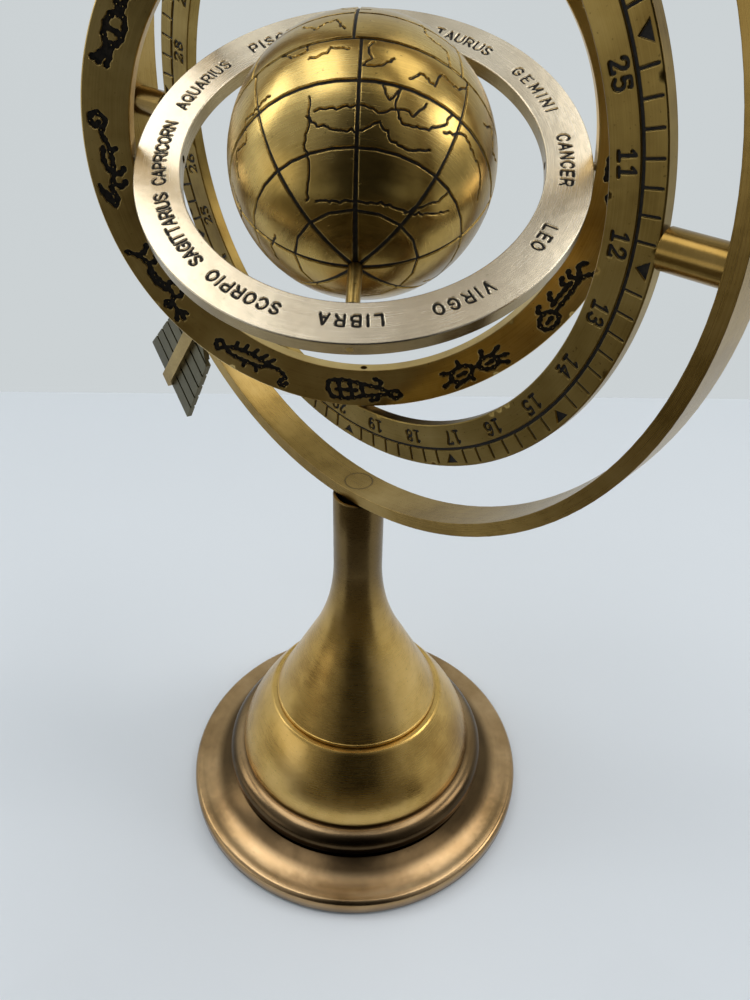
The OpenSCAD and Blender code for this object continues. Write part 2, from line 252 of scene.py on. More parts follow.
ANTIQUE = brass("antique_brass", (0.78, 0.53, 0.195), (0.59, 0.375, 0.105), (0.32, 0.18, 0.042), 0.27, aniso=0.45,
                grime_and_shade=0.8, edge=0.03, recess=(38.5, 40.4, 21.6, 20.2), duller_with_height=(74, 110, (0.115, 0.078, 0.034), 0.85),
                scratch=0.45)
PLAIN = brass("antique_brass_bar", (0.46, 0.33, 0.12), (0.33, 0.225, 0.07), (0.19, 0.12, 0.032), 0.29, brush=False,
              grime_and_shade=0.6, spots=0.25)
VANES = brass("antique_brass_vane", (0.15, 0.135, 0.08), (0.10, 0.088, 0.048), (0.055, 0.048, 0.025), 0.33,
              brush=False, spots=0.4, grime_and_shade=0.6, edge=0.9, bevel=0.2)
IN_OUTER = ring_frame(Vector((1, 0, 0)), Vector((0, 0, 1)))
IN_POSTS = ring_frame(Vector((0, 1, 0)), Vector((0, 0, 1)))
STRAP = brass("antique_brass_strap", (0.45, 0.31, 0.112), (0.31, 0.20, 0.056), (0.165, 0.098, 0.022), 0.27,
              turn=IN_OUTER, grime_and_shade=0.5, spots=0.6, seam=4.0)
POST = brass("antique_brass_post", (0.35, 0.225, 0.068), (0.235, 0.145, 0.036), (0.13, 0.073, 0.015), 0.21, turn=IN_POSTS,
             grime_and_shade=0.5, edge=0.2, spots=0.25)
# the recess numbers here paint shade and a dark reflection on the bead's lower half and the foot just under it
ROSY = brass("rosy_brass", (0.56, 0.385, 0.205), (0.38, 0.245, 0.115), (0.20, 0.12, 0.05), 0.22, aniso=0.5,
             grime_and_shade=0.95, deep=9, edge=0.1, recess=(53.0, 48.8, 20.4, 17.8), scratch=0.5)
HOURS = brass("hour_brass", (0.36, 0.26, 0.09), (0.25, 0.17, 0.048), (0.13, 0.08, 0.019), 0.29, turn=IN_HOUR,
              aniso=0.4)
DARK = brass("dark_brass", (0.68, 0.50, 0.195), (0.50, 0.345, 0.11), (0.26, 0.165, 0.045), 0.31, turn=IN_FIGURES,
             aniso=0.4)
BRIGHT = brass("bright_brass", (0.86, 0.76, 0.595), (0.75, 0.645, 0.475), (0.54, 0.435, 0.29), 0.25, turn=IN_NAMES,
               spots=0.5, spread=0.8, aniso=0.5)
RIM = brass("names_rim_brass", (0.46, 0.36, 0.19), (0.32, 0.235, 0.11), (0.17, 0.115, 0.045), 0.25, turn=IN_NAMES)
GLOBE = brass("globe_brass", (0.66, 0.475, 0.165), (0.46, 0.305, 0.083), (0.20, 0.125, 0.028), 0.25,
              turn=IN_NAMES @ Matrix.Rotation(math.radians(-90), 4, "X"), aniso=0.5, spread=0.5)
BLACK = filled("blackened_recess", (0.003, 0.0025, 0.002), (0.022, 0.016, 0.009), 0.5)
STEEL = brass("steel", (0.60, 0.59, 0.56), (0.48, 0.47, 0.45), (0.33, 0.32, 0.30), 0.32, spots=0.4, brush=False)
FELT = felt("felt")


# ---------------------------------------------------------------- mesh helpers
def piece(name, verts, faces, mats, body, nodes, place=None, indices=None, sharp=28, axis="Z",
          round_faces=False):
    me = bpy.data.meshes.new(name)
    local = [Vector(v) for v in verts]
    me.from_pydata([place @ (v * MM) for v in local] if place else [v * MM for v in local], [], faces)
    # a map with U round the axis, which the brushed highlights follow
    uv = me.uv_layers.new(name="turn")
    for f in me.polygons:
        mid = sum((local[i] for i in f.vertices), Vector()) / len(f.vertices)
        p, q, h = (mid.x, mid.y, 2) if axis == "Z" else (mid.x, mid.z, 1)
        a0 = math.atan2(q, p)
        for li in f.loop_indices:
            v = local[me.loops[li].vertex_index]
            x, y = v.x, v[3 - h] if axis == "Z" else v.z
            a = math.atan2(v.y if axis == "Z" else v.z, v.x) if abs(x) + abs(y) > 1e-6 else a0
            a = a0 + (a - a0 + math.pi) % TAU - math.pi
            uv.data[li].uv = (a * 5, v.length / 20 + v[h] / 20)
    for m in mats:
        me.materials.append(m)
    if indices:
        me.polygons.foreach_set("material_index", indices)
    me.validate()
    me.shade_smooth()
    if round_faces:
        # untouched skin takes the sphere's own normals, and cut faces their own
        skin = [f.material_index == 0 and all(abs(local[i].length - GLOBE_R) < 1e-4 for i in f.vertices)
                for f in me.polygons]
        spin = place.to_3x3()
        me.normals_split_custom_set([
            (spin @ local[me.loops[li].vertex_index]).normalized() if skin[f.index] else f.normal
            for f in me.polygons for li in f.loop_indices])
    else:
        me.set_sharp_from_angle(angle=math.radians(sharp))
    o = bpy.data.objects.new(name, me)
    bpy.context.scene.collection.objects.link(o)
    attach(o, body)
    if nodes:
        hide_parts(*nodes)
    return o


def weld(verts, faces, kinds, tol=1e-5):
    """Joins vertices that share a place and drops faces that collapse."""
    seen, index, out = {}, [], []
    for v in verts:
        key = tuple(round(c / tol) for c in v)
        if key not in seen:
            seen[key] = len(out)
            out.append(v)
        index.append(seen[key])
    fs, ks = [], []
    for f, k in zip(faces, kinds):
        g = []
        for i in f:
            j = index[i]
            if not g or g[-1] != j:
                g.append(j)
        if len(g) > 1 and g[0] == g[-1]:
            g.pop()
        if len(set(g)) >= 3:
            fs.append(g)
            ks.append(k)
    return out, fs, ks


def capsule(p, q, r, n=3, stretch=None):
    """A rounded bar from p to q as a polygon, anticlockwise."""
    a = math.atan2(q[1] - p[1], q[0] - p[0])
    if p[0] == q[0] and p[1] == q[1]:
        a = 0.0
    pts = []
    for end, turn in ((q, -math.pi / 2), (p, math.pi / 2)):
        for i in range(n + 1):
            t = a + turn + math.pi * i / n
            off = (r * math.cos(t), r * math.sin(t))
            if stretch:
                off = stretch(end, off)
            pts.append(Vector((end[0] + off[0], end[1] + off[1])))
    return pts


def within(poly, x, y):
    odd = False
    x0, y0 = poly[-1]
    for x1, y1 in poly:
        if (y0 > y) != (y1 > y) and x < (x1 - x0) * (y - y0) / (y1 - y0) + x0:
            odd = not odd
        x0, y0 = x1, y1
    return odd


def relief(outline, holes, strokes, slope, shapes=(), islands=(), points=(), stretch=None):
    """Cuts strokes into a flat outline. Gives vertices, each with how deep it lies from 0 to 1, and triangles, each
    0 for the untouched face, 1 for a groove's slope and 2 for its floor."""
    verts = list(outline)
    faces = [list(range(len(verts)))]
    drop, wide, deep, keep = "drop", "wide", "deep", "keep"
    cells = {}

    def add(poly, group):
        faces.append(list(range(len(verts), len(verts) + len(poly))))
        verts.extend(poly)
        if group == drop:
            return
        flat = [(v.x, v.y) for v in poly]
        xs, ys = [c[0] for c in flat], [c[1] for c in flat]
        for i in range(math.floor(min(xs)), math.floor(max(xs)) + 1):
            for j in range(math.floor(min(ys)), math.floor(max(ys)) + 1):
                cells.setdefault((i, j), []).append((group, flat))

    for h in holes:
        add(h, drop)
    for path, width in strokes:
        for p, q in zip(path, path[1:]):
            add(capsule(p, q, width / 2, 3, stretch), wide)
            add(capsule(p, q, max(width / 2 - slope, 0.04), 3, stretch), deep)
    for poly in shapes:
        c = sum(poly, Vector((0, 0))) / len(poly)
        reach = min((v - c).length for v in poly)
        add(poly, wide)
        add([c + (v - c) * (1 - slope * 1.6 / reach) for v in poly], deep)
    for at, r in islands:
        add([v + at for v in circle(r, 6)], keep)
    verts.extend(points)
    v, _, f, _, _, src = delaunay_2d_cdt(verts, [], faces, 0, 1e-5, True)
    low, high = [9] * len(v), [0] * len(v)
    tris, kinds = [], []
    for t, s in zip(f, src):
        if 0 not in s or (holes and 1 in s):
            continue
        a, b, c = v[t[0]], v[t[1]], v[t[2]]
        x, y = (a.x + b.x + c.x) / 3, (a.y + b.y + c.y) / 3
        groups = {g for g, poly in cells.get((math.floor(x), math.floor(y)), ()) if within(poly, x, y)}
        kind = 0 if keep in groups else 2 if deep in groups else 1 if wide in groups else 0
        tris.append(list(t))
        kinds.append(kind)
        for i in t:
            low[i], high[i] = min(low[i], kind), max(high[i], kind)
    depth = [0.0 if lo == 0 else 1.0 if hi == 2 else 0.5 for lo, hi in zip(low, high)]
    return v, depth, tris, kinds


def circle(r, n, start=0.0):
    return [Vector((r * math.cos(start + TAU * i / n), r * math.sin(start + TAU * i / n))) for i in range(n)]


def smooth(path, steps=4):
    """A curve through the points."""
    if len(path) < 3:
        return path
    closed = (path[0] - path[-1]).length < 1e-6
    p = path[:-1] if closed else path
    out = []
    n = len(p)
    for i in range(n if closed else n - 1):
        get = (lambda k: p[k % n]) if closed else (lambda k: p[min(max(k, 0), n - 1)])
        a, b, c, d = get(i - 1), get(i), get(i + 1), get(i + 2)
        for s in range(steps):
            t = s / steps
            out.append(0.5 * (2 * b + (c - a) * t + (2 * a - 5 * b + 4 * c - d) * t * t
                              + (3 * b - a - 3 * c + d) * t ** 3))
    out.append(p[0] if closed else p[-1])
    return out


def read(text, unit=1.0):
    return [[Vector((float(c.split(",")[0]), float(c.split(",")[1]))) * unit for c in part.split()]
            for part in text.split("|")]


# ---------------------------------------------------------------- lettering, in plain strokes on a 6-high grid
P_ = "0,0 0,6 2.4,6 3.6,5.4 3.8,4.35 3.4,3.2 2.4,2.7 0,2.7"
O_ = "2.1,6 0.8,5.4 0,3.9 0,2.1 0.8,0.6 2.1,0 3.4,0.6 4.2,2.1 4.2,3.9 3.4,5.4 2.1,6"
LETTERS = {
    "A": "0,0 2,6 4,0|0.8,1.9 3.2,1.9",
    "B": "0,0 0,6 2.4,6 3.4,5.4 3.4,3.9 2.4,3.2 0,3.2|2.4,3.2 3.8,2.5 3.8,0.8 2.6,0 0,0",
    "C": "4,4.5 3.2,5.7 2,6 0.8,5.4 0,3.8 0,2.2 0.8,0.6 2,0 3.2,0.3 4,1.5",
    "E": "3.4,6 0,6 0,0 3.4,0|0,3 3,3",
    "G": "4,4.6 3.2,5.7 2,6 0.8,5.4 0,3.8 0,2.2 0.8,0.6 2,0 3.4,0.4 4,1.2 4,2.8 2.4,2.8",
    "I": "0,0 0,6", "L": "0,6 0,0 3.2,0", "M": "0,0 0,6 2.3,1.2 4.6,6 4.6,0", "N": "0,0 0,6 3.8,0 3.8,6",
    "O": O_, "P": P_, "Q": O_ + "|2.4,1.6 4.2,-0.4", "R": P_ + "|2.2,2.7 3.9,0",
    "S": "3.6,4.9 2.8,5.8 1.6,6 0.5,5.5 0.2,4.4 0.8,3.5 2.8,2.6 3.7,1.8 3.5,0.7 2.4,0 1.1,0.1 0.1,1.1",
    "T": "0,6 4,6|2,6 2,0", "U": "0,6 0,1.6 0.8,0.3 2,0 3.2,0.3 4,1.6 4,6", "V": "0,6 2,0 4,6",
    "0": "1.7,6 0.5,5.2 0,3.8 0,2.2 0.5,0.8 1.7,0 2.9,0.8 3.4,2.2 3.4,3.8 2.9,5.2 1.7,6",
    "1": "0.4,4.8 1.7,6 1.7,0|0.3,0 3.1,0",
    "2": "0.2,4.4 0.6,5.6 1.7,6 2.9,5.6 3.2,4.4 2.6,3.1 0.2,0.2|0.2,0 3.4,0 3.4,1",
    "3": "0.3,5 1,5.8 2.2,6 3,5.2 3,4.1 2.2,3.2 1.2,3.2|2.2,3.2 3.2,2.4 3.3,1.2 2.6,0.2 1.3,0 0.2,0.8",
    "4": "2.5,0 2.5,6 0,1.8 3.5,1.8|1.6,0 3.4,0",
    "5": "3.2,5.3 3.2,6 0.6,6 0.4,3.3 1.6,3.8 2.9,3.3 3.3,1.9 2.8,0.5 1.4,0 0.2,0.8",
    "6": "3,5.2 2,6 0.9,5.4 0.2,3.8 0.1,1.9 0.7,0.4 1.8,0 3,0.6 3.3,1.9 2.7,3.2 1.6,3.5 0.4,2.6",
    "7": "0.2,5 0.2,6 3.3,6 1.9,3 1.5,0",
    "8": "1.7,3.3 0.5,4 0.4,5.2 1.7,6 3,5.2 2.9,4 1.7,3.3 0.3,2.4 0.2,0.9 1.7,0 3.2,0.9 3.1,2.4 1.7,3.3",
    "9": "0.4,0.8 1.4,0 2.5,0.6 3.2,2.2 3.3,4.1 2.7,5.6 1.6,6 0.4,5.4 0.1,4.1 0.7,2.8 1.8,2.5 3,3.4",
}


def on_ring(paths, angle, radius):
    """Paths drawn about 0,0 (x clockwise, y outwards), set on a ring at that angle."""
    a = math.radians(angle)
    out, side = Vector((math.cos(a), math.sin(a))), Vector((math.sin(a), -math.cos(a)))
    return [[out * (radius + p.y) + side * p.x for p in path] for path in paths]


def lettering(text, angle, radius, unit, width, gap=1.0, span=None):
    """Letters each set square to the ring, reading clockwise with their tops outwards."""
    glyphs = [read(LETTERS[c], unit) for c in text]
    wide = [max(p.x for s in g for p in s) for g in glyphs]
    if span:
        gap = (span - width - sum(wide)) / (len(text) - 1)
    total = sum(wide) + gap * (len(text) - 1)
    at, out = -total / 2, []
    for g, w in zip(glyphs, wide):
        middle = at + w / 2
        moved = [[p - Vector((w / 2, 3 * unit)) for p in s] for s in g]
        out += [(s, width) for s in on_ring(moved, angle - math.degrees(middle / radius), radius)]
        at += w + gap
    return out


# ---------------------------------------------------------------- flat rings
SEGMENTS = 288
EDGE = 0.22


def engraved_ring(name, inner, outer, thick, strokes, mats, body, node_name, place, depth=0.38, slope=0.13,
                  shapes=(), islands=(), pits_in=(), pits_out=(), edge=EDGE):
    """A flat ring with its +Z face engraved and small blind holes in its edges at the given angles."""
    half = thick / 2
    rows = round((outer - inner) / 1.4)
    grid = [p for k in range(1, rows) for p in circle(inner + (outer - inner) * k / rows, SEGMENTS,
                                                      math.pi / SEGMENTS * (k % 2))]
    v2, deep, tris, kinds = relief(circle(outer - edge, SEGMENTS), [circle(inner + edge, SEGMENTS)], strokes, slope,
                                   shapes, islands, grid)
    verts = [(v.x, v.y, half - depth * d) for v, d in zip(v2, deep)]
    faces = [list(t) for t in tris]
    kinds = [1 if k == 2 else 0 for k in kinds]

    rim = 2 if len(mats) > 2 else 0

    def quads(ra, za, rb, zb):
        base = len(verts)
        for i in range(SEGMENTS):
            a = TAU * i / SEGMENTS
            c, s = math.cos(a), math.sin(a)
            verts.append((ra * c, ra * s, za))
            verts.append((rb * c, rb * s, zb))
        for i in range(SEGMENTS):
            j = (i + 1) % SEGMENTS
            faces.append([base + 2 * i, base + 2 * i + 1, base + 2 * j + 1, base + 2 * j])
            kinds.append(0)

    def wall(r, sign, pits):
        """The ring's edge as plain quads, with a finer patch round each pit."""
        z = half - edge
        step = TAU / SEGMENTS
        patched = set()
        for at, rad in pits:
            first = round(math.radians(at) / step) - 3
            patched |= {(first + i) % SEGMENTS for i in range(6)}
            zero = first * step
            outline = [Vector((i * step * r, -z)) for i in range(7)] + [Vector((i * step * r, z)) for i in range(6, -1, -1)]
            u = (math.radians(at) - zero) * r
            pit = [Vector((u + rad * math.cos(TAU * k / 24), rad * math.sin(TAU * k / 24))) for k in range(24)]
            w2, wd, wt, wk = relief(outline, [], [], 0.03, [pit])
            base = len(verts)
            for p, d in zip(w2, wd):
                a, rr = zero + p.x / r, r + sign * 2.0 * d
                verts.append((rr * math.cos(a), rr * math.sin(a), p.y))
            for t, k in zip(wt, wk):
                t = [base + i for i in t]
                faces.append(t[::-1] if sign > 0 else t)
                kinds.append(1 if k == 2 else rim)
        base = len(verts)
        for i in range(SEGMENTS):
            c, s = r * math.cos(i * step), r * math.sin(i * step)
            verts.extend(((c, s, -z), (c, s, z)))
        for i in range(SEGMENTS):
            if i not in patched:
                p, q = base + 2 * i, base + 2 * ((i + 1) % SEGMENTS)
                faces.append([p, p + 1, q + 1, q] if sign > 0 else [p, q, q + 1, p + 1])
                kinds.append(rim)

    quads(outer - edge, half, outer, half - edge)
    wall(outer, -1, pits_out)
    quads(outer, -(half - edge), outer - edge, -half)
    quads(outer - edge, -half, inner + edge, -half)
    quads(inner + edge, -half, inner, -(half - edge))
    wall(inner, 1, pits_in)
    quads(inner, half - edge, inner + edge, half)
    v, f, k = weld(verts, faces, kinds)
    return piece(name, v, f, mats, body, (node_name,), place, k)


def arc_path(r, a0, a1, step=2.5):
    n = max(1, round(abs(a1 - a0) / step))
    return [Vector((r * math.cos(math.radians(a0 + (a1 - a0) * i / n)),
                    r * math.sin(math.radians(a0 + (a1 - a0) * i / n)))) for i in range(n + 1)]


# hour ring: numbers, a circle, ticks and twelve arrowheads
hour_marks = [(arc_path(70.3, 0, 360), 0.95)]
numbers = {23: "25", 11: "11"}
for k in range(28):
    numbers[-1 - 12 * k] = str((12 + k - 1) % 30 + 1)
for angle, text in numbers.items():
    hour_marks += lettering(text, angle, 67.3, 0.55, 0.86)
arrowheads = []
for k in range(12):
    a = -3.4 - 30 * k
    arrowheads += on_ring([[Vector((-2.0, 0)), Vector((0, -2.75)), Vector((2.0, 0))]], a, 74.1)
    for t in range(1, 8):
        hour_marks += [(p, 0.72) for p in on_ring([[Vector((0, 0)), Vector((0, 3.6))]], a - 3.75 * t, 70.6)]
engraved_ring("hour_ring_dial", 63.7, 75, 3.2, hour_marks, (HOURS, BLACK), "hour_body", "hour_ring",
              IN_HOUR, depth=0.34, shapes=arrowheads, pits_in=((0, 0.93), (180, 0.93)))

# figures ring: twelve small figures of the sky, each a few beaded strokes (tenths of a millimetre)
FIGURES = {
    150: "-104,16 -100,26 -90,28 -86,18 -94,4 -80,-6 -60,-10 -40,-6|-40,-6 -20,8 20,13 60,14 82,4|"
         "-40,-6 -10,-12 30,-12 62,-6 82,4|-34,-12 -46,-31|-14,-14 -24,-33|10,-14 4,-34|34,-12 32,-32|56,-8 58,-26|"
         "-10,10 -18,26|20,13 18,29|82,4 98,18 106,6|82,4 98,-9 108,0",
    120: "-98,30 -80,12 -98,-4|-104,12 -58,12|-62,24 -53,30 -46,21 -55,14 -62,24|-55,14 -44,-2 -20,-4 20,3 60,1 84,10 "
         "104,28|-44,-2 -52,-18 -42,-32|-20,-4 -10,-18 -20,-32|56,0 50,-17 62,-32|84,10 82,-10 94,-27|-20,4 10,14 40,10",
    90: "-102,4 -86,20 -70,28 -78,12|-70,28 -56,32|-84,14 -96,0 -80,-4 -66,6 -50,0 -10,-8 30,-5 60,6 84,-8 101,8 92,26 "
        "74,20 82,6|-50,0 -58,-18 -46,-32|-30,-6 -28,-22 -16,-33|-22,4 2,12 28,8|20,-6 26,-22",
    60: "-104,24 -86,10 -60,4|-106,10 -84,2 -60,0|-104,-8 -84,-8 -60,-5|-60,9 -48,17 -20,19 0,9 0,-9 -20,-19 -48,-17 "
        "-60,-8 -60,9|0,2 30,15 60,10 92,22|0,-3 34,-3 64,-10 98,-4|40,15 46,31|60,-9 60,-28|-34,16 -34,-15",
    30: "-98,14 -72,27 -46,20 -30,8 -46,-1 -72,2 -98,14|-30,8 -16,22|-30,8 -14,-4|98,-14 72,-27 46,-20 30,-8 46,1 "
        "72,-2 98,-14|30,-8 16,-22|30,-8 14,4|-14,-4 0,-12 14,4|-80,12 -56,12|56,-12 80,-12",
    0: "-58,10 -74,25 -94,20 -99,3 -86,-6 -76,6|-58,10 -45,19 -30,10 -40,-3 -56,-3 -58,10|-30,10 0,15 40,13 70,4 88,14|"
       "70,4 60,-9 20,-11 -20,-9 -40,-3|-20,-9 -26,-31|0,-11 -4,-31|44,-9 44,-31|60,-9 70,-29|0,4 30,2",
    -30: "-99,26 -83,14 -88,0 -70,-8 -54,4 -60,17 -80,16|-64,31 -60,17|-54,4 -30,15 10,11 50,15 76,6 100,24|76,6 70,-11 "
         "30,-13 -10,-13 -40,-7 -54,4|-36,-9 -46,-33|-14,-13 -18,-33|40,-13 36,-33|66,-11 76,-31|-20,2 30,0",
    -60: "-82,21 -71,31 -60,21 -71,12 -82,21|-71,12 -66,-8 -86,-32|-66,-8 -48,-31|-94,2 -70,4 -40,14|18,21 29,31 40,21 "
         "29,12 18,21|29,12 34,-8 14,-32|34,-8 52,-31|-4,12 30,4 62,14|62,14 78,-8 70,-30",
    -90: "0,32 0,-22|-22,-29 22,-29|-64,20 64,20|-64,20 -84,-5 -44,-5 -64,20|64,20 44,-5 84,-5 64,20|-80,-9 -64,-19 "
         "-48,-9|48,-9 64,-19 80,-9",
    -122: "-106,27 -88,24 -76,11 -58,5 -28,8 10,9 40,10|-58,5 -72,-8 -86,-20 -100,-8|-58,-3 -52,-20 -62,-33|-40,-7 0,-9 "
          "30,-7|-34,-7 -28,-24 -40,-34|20,-7 18,-24 6,-34|40,10 44,27 64,33 86,25 90,5 74,-9 52,-9 40,10|60,-9 62,-26 "
          "48,-33|56,12 74,13",
    -150: "-62,18 -42,27 -20,20 -12,4 -28,-9 -52,-7 -62,18|-62,18 -84,30|-60,4 -92,8|-54,-7 -80,-23|-28,-9 -34,-31|"
          "-12,4 6,2|6,2 22,22 50,26 68,11 60,-9 34,-16 14,-9 6,2|22,22 16,35|50,26 68,35|68,11 94,18|60,-9 86,-20|"
          "34,-16 34,-34|28,6 50,6|-48,8 -30,10",
    180: "-100,14 -86,25 -70,13 -84,1 -100,14|-70,13 -40,17 0,21 40,29 84,25|-70,8 -40,-5 0,-15 50,-27 92,-25|84,25 96,0 "
         "92,-25|-40,17 -36,31 -18,34|-40,-5 -46,-23 -28,-32|0,20 8,-14|30,26 38,-23|60,27 68,-24|20,4 74,2",
}
figure_marks, figure_islands = [], []
for angle, text in FIGURES.items():
    for path in read(text, 0.1):
        path = smooth(path, 5)
        line, run = [path[0]], 0.0
        for a, b in zip(path, path[1:]):
            n = max(1, round((b - a).length / 0.5))
            line += [a + (b - a) * (i + 1) / n for i in range(n)]
        placed = on_ring([line], angle, 57.9)[0]
        for i in range(len(placed) - 1):
            figure_marks.append((placed[i:i + 2], 1.35 if i % 4 else 1.75))
            if i % 8 == 4 and len(placed) > 16:
                figure_islands.append((placed[i], 0.11))
engraved_ring("figures_ring_dial", 52.3, 63, 3.9, figure_marks, (DARK, BLACK), "figures_body", "figures_ring",
              IN_FIGURES, depth=0.42, slope=0.12, islands=figure_islands,
              pits_in=((0, 0.93), (180, 0.93)))

# names ring: the twelve signs in plain capitals
SIGNS = {"LIBRA": 13.7, "SCORPIO": 18.7, "SAGITTARIUS": 23.2, "CAPRICORN": 20.4, "AQUARIUS": 19.2, "PISCES": 15.6,
         "ARIES": 13.2, "TAURUS": 15.9, "GEMINI": 16.6, "CANCER": 16.4, "LEO": 7.9, "VIRGO": 14.4}
name_marks = []
for k, (text, span) in enumerate(SIGNS.items()):
    name_marks += lettering(text, 90 - 30 * k, 45.8, 0.45, 0.82, span=span)
engraved_ring("names_ring_dial", 41.1, 51.6, 3.8, name_marks, (BRIGHT, BLACK, RIM), "names_body", "names_ring",
              IN_NAMES, depth=0.30, slope=0.12, pits_in=((0, 0.93), (180, 0.93)))

# ---------------------------------------------------------------- globe
GLOBE_R, WALL_T = 30.4, 1.2
RIM = 144


def sphere_stretch(at, off):
    """Turns an offset on the sphere into one on the flat chart of degrees from the pole."""
    th = math.hypot(*at)
    k = math.degrees(1) / GLOBE_R
    if th < 0.01:
        return (off[0] * k, off[1] * k)
    u = Vector((at[0] / th, at[1] / th))
    t = Vector((-u.y, u.x))
    o = Vector(off)
    s = math.radians(th) / max(math.sin(math.radians(th)), 0.05)
    o = u * o.dot(u) + t * o.dot(t) * s
    return (o.x * k, o.y * k)


def ragged(path, seed, amp=0.8, step=1.5):
    out = []
    for a, b in zip(path, path[1:]):
        n = max(1, round((b - a).length / step))
        out += [a + (b - a) * i / n for i in range(n)]
    out.append(path[-1])
    moved = []
    for i, p in enumerate(out):
        q = Vector((p.x * 0.55 + seed * 7.1, p.y * 0.55, seed * 3.3))
        moved.append(p + Vector((noise.noise(q), noise.noise(q + Vector((31, 7, 5))))) * 2 * amp)
    return moved


BORDERS = {
    1: "-33,43 -23,45 -17,48 -11,55.5 -6.7,54.5 -2,53 6.7,53 15.6,54 21,56.7|21,64 20,54.4 20.7,46.7 17.8,38 19.3,27|"
       "-46.7,53.3 -41,50 -33.3,51 -29,52.2 -21,54.4 -19,59.6 -11,59.3 -5.6,61.8 0,61.8 11,60.4 18,59|"
       "-33.3,60 -26.7,56.7 -23.3,59 -17.8,60 -21,66.7 -15.6,63.3 -13,70|-40,47.8 -52,43.3 -56.7,33.3 -60,24.4 -59,17 "
       "-56.7,11|-40,24.4 -33.3,23.3 -24.4,23.3 -20,22.2|-40,16.7 -24.4,21 -11,27.8 1,29 15.6,27.8|-10,88 -6,86 -8,80 "
       "-3,77 -14,77 -20,80|4,84 14,84 20,80 26,78|30,88 28,82 36,78 44,78 50,84|-62,60 -54,62 -46,70 -40,66 -34,72 "
       "-26,70|-70,40 -78,34 -74,24 -80,14|44,60 52,52 58,46 54,38 62,30 58,20|66,10 58,4 62,-8 54,-16|34,6 38,-2 36,-10|"
       "-30,-24 -38,-30 -36,-40 -46,-46 -42,-58 -52,-66|-14,-40 -6,-46 4,-44 10,-52 20,-50 26,-60 38,-58|"
       "-20,-66 -10,-70 -12,-80 -2,-84|50,-30 60,-36 58,-48 68,-54|-62,-20 -72,-24 -70,-34 -82,-38",
    2: "-60,30 -50,36 -52,46 -40,52 -30,48 -24,56 -12,54 -8,64 4,66|10,40 20,44 32,38 40,44 52,36 60,40 70,34|"
       "-76,10 -66,4 -68,-8 -56,-14 -58,-26 -46,-30 -40,-42 -30,-44|24,-10 34,-16 32,-28 44,-34 42,-46 52,-54|"
       "-10,-30 0,-36 -2,-46 10,-52 8,-62 18,-70|-30,70 -24,78 -12,76 -8,84|30,62 36,70 48,66 54,72|70,-10 78,-18 74,-30|"
       "-16,20 -8,26 2,22 12,28|-44,10 -36,16 -28,12",
}


def globe_half(name, node_name, turn, seed):
    strokes = []
    for k in range(8):
        a = math.radians(45 * k + 1.5)
        u = Vector((math.cos(a), math.sin(a)))
        strokes += [([u * d, u * (d + 5)], 1.25 - 0.5 * d / 90) for d in range(0, 90, 5)]
    for polar, width in ((25.6, 0.75), (47.6, 0.75), (71.2, 0.95), (90, 0.9)):
        n = 16 if polar < 30 else 32 if polar < 60 else 48
        strokes.append(([Vector((polar * math.cos(TAU * i / n), polar * math.sin(TAU * i / n))) for i in range(n + 1)],
                        width))
    for i, path in enumerate(read(BORDERS[seed])):
        strokes.append((ragged(path, seed * 20 + i, 0.6), 0.64))
    points = [Vector((d * math.cos(TAU * i / n + d), d * math.sin(TAU * i / n + d)))
              for d in range(3, 90, 3) for n in (max(8, round(TAU * math.sin(math.radians(d)) * 19)),)
              for i in range(n)]
    v2, deep, tris, kinds = relief(circle(90, RIM), [], strokes, 0.12, points=points, stretch=sphere_stretch)

    def at(u, v, r):
        th, ph = math.radians(math.hypot(u, v)), math.atan2(v, u)
        return Vector((r * math.sin(th) * math.cos(ph), r * math.cos(th), r * math.sin(th) * math.sin(ph)))

    verts = [at(v.x, v.y, GLOBE_R - 0.34 * d) for v, d in zip(v2, deep)]
    faces = [t[::-1] for t in tris]
    kinds = [1 if k == 2 else 0 for k in kinds]
    rim = {}
    for i, v in enumerate(v2):
        if abs(v.length - 90) < 1e-4 or v.length > 89.97:
            rim[i] = math.atan2(v.y, v.x)
    order = sorted(rim, key=rim.get)
    base = len(verts)
    rings = list(range(90, 0, -9))
    for d in rings:
        for i in order:
            verts.append(at(d * math.cos(rim[i]), d * math.sin(rim[i]), GLOBE_R - WALL_T))
    n = len(order)
    verts.append(Vector((0, GLOBE_R - WALL_T, 0)))
    for i in range(n):
        j = (i + 1) % n
        faces.append([order[i], base + i, base + j, order[j]])
        kinds.append(0)
        for k in range(len(rings) - 1):
            p = base + k * n
            faces.append([p + i, p + n + i, p + n + j, p + j])
            kinds.append(0)
        p = base + (len(rings) - 1) * n
        faces.append([p + i, base + len(rings) * n, p + j])
        kinds.append(0)
    place = IN_NAMES @ Matrix.Rotation(turn, 4, "Z")
    return piece(name, verts, faces, (GLOBE, BLACK), "globe_body", (node_name,), place, kinds, axis="Y",
                 round_faces=True)


globe_half("globe_front_shell", "globe_front_half", 0, 1)
globe_half("globe_back_shell", "globe_back_half", math.pi, 2)


# ---------------------------------------------------------------- turned base and stem
def lathe(name, profile, mat, node_name, n=256):
    """A closed outline of radius and height turned about Z."""
    verts, faces = [], []
    m = len(profile)
    for i in range(n):
        c, s = math.cos(TAU * i / n), math.sin(TAU * i / n)
        verts += [(r * c, r * s, z) for r, z in profile]
    for i in range(n):
        j = (i + 1) % n
        for k in range(m):
            l = (k + 1) % m
            if profile[k][0] < 1e-6 and profile[l][0] < 1e-6:
                continue
            faces.append([i * m + k, j * m + k, j * m + l, i * m + l])
    v, f, _ = weld(verts, faces, [0] * len(faces))
    return piece(name, v, f, (mat,), "stand", (node_name,), sharp=24)


def arc(cx, cz, r, a0, a1, n):
    return [(cx + r * math.cos(math.radians(a0 + (a1 - a0) * i / n)),
             cz + r * math.sin(math.radians(a0 + (a1 - a0) * i / n))) for i in range(n + 1)]


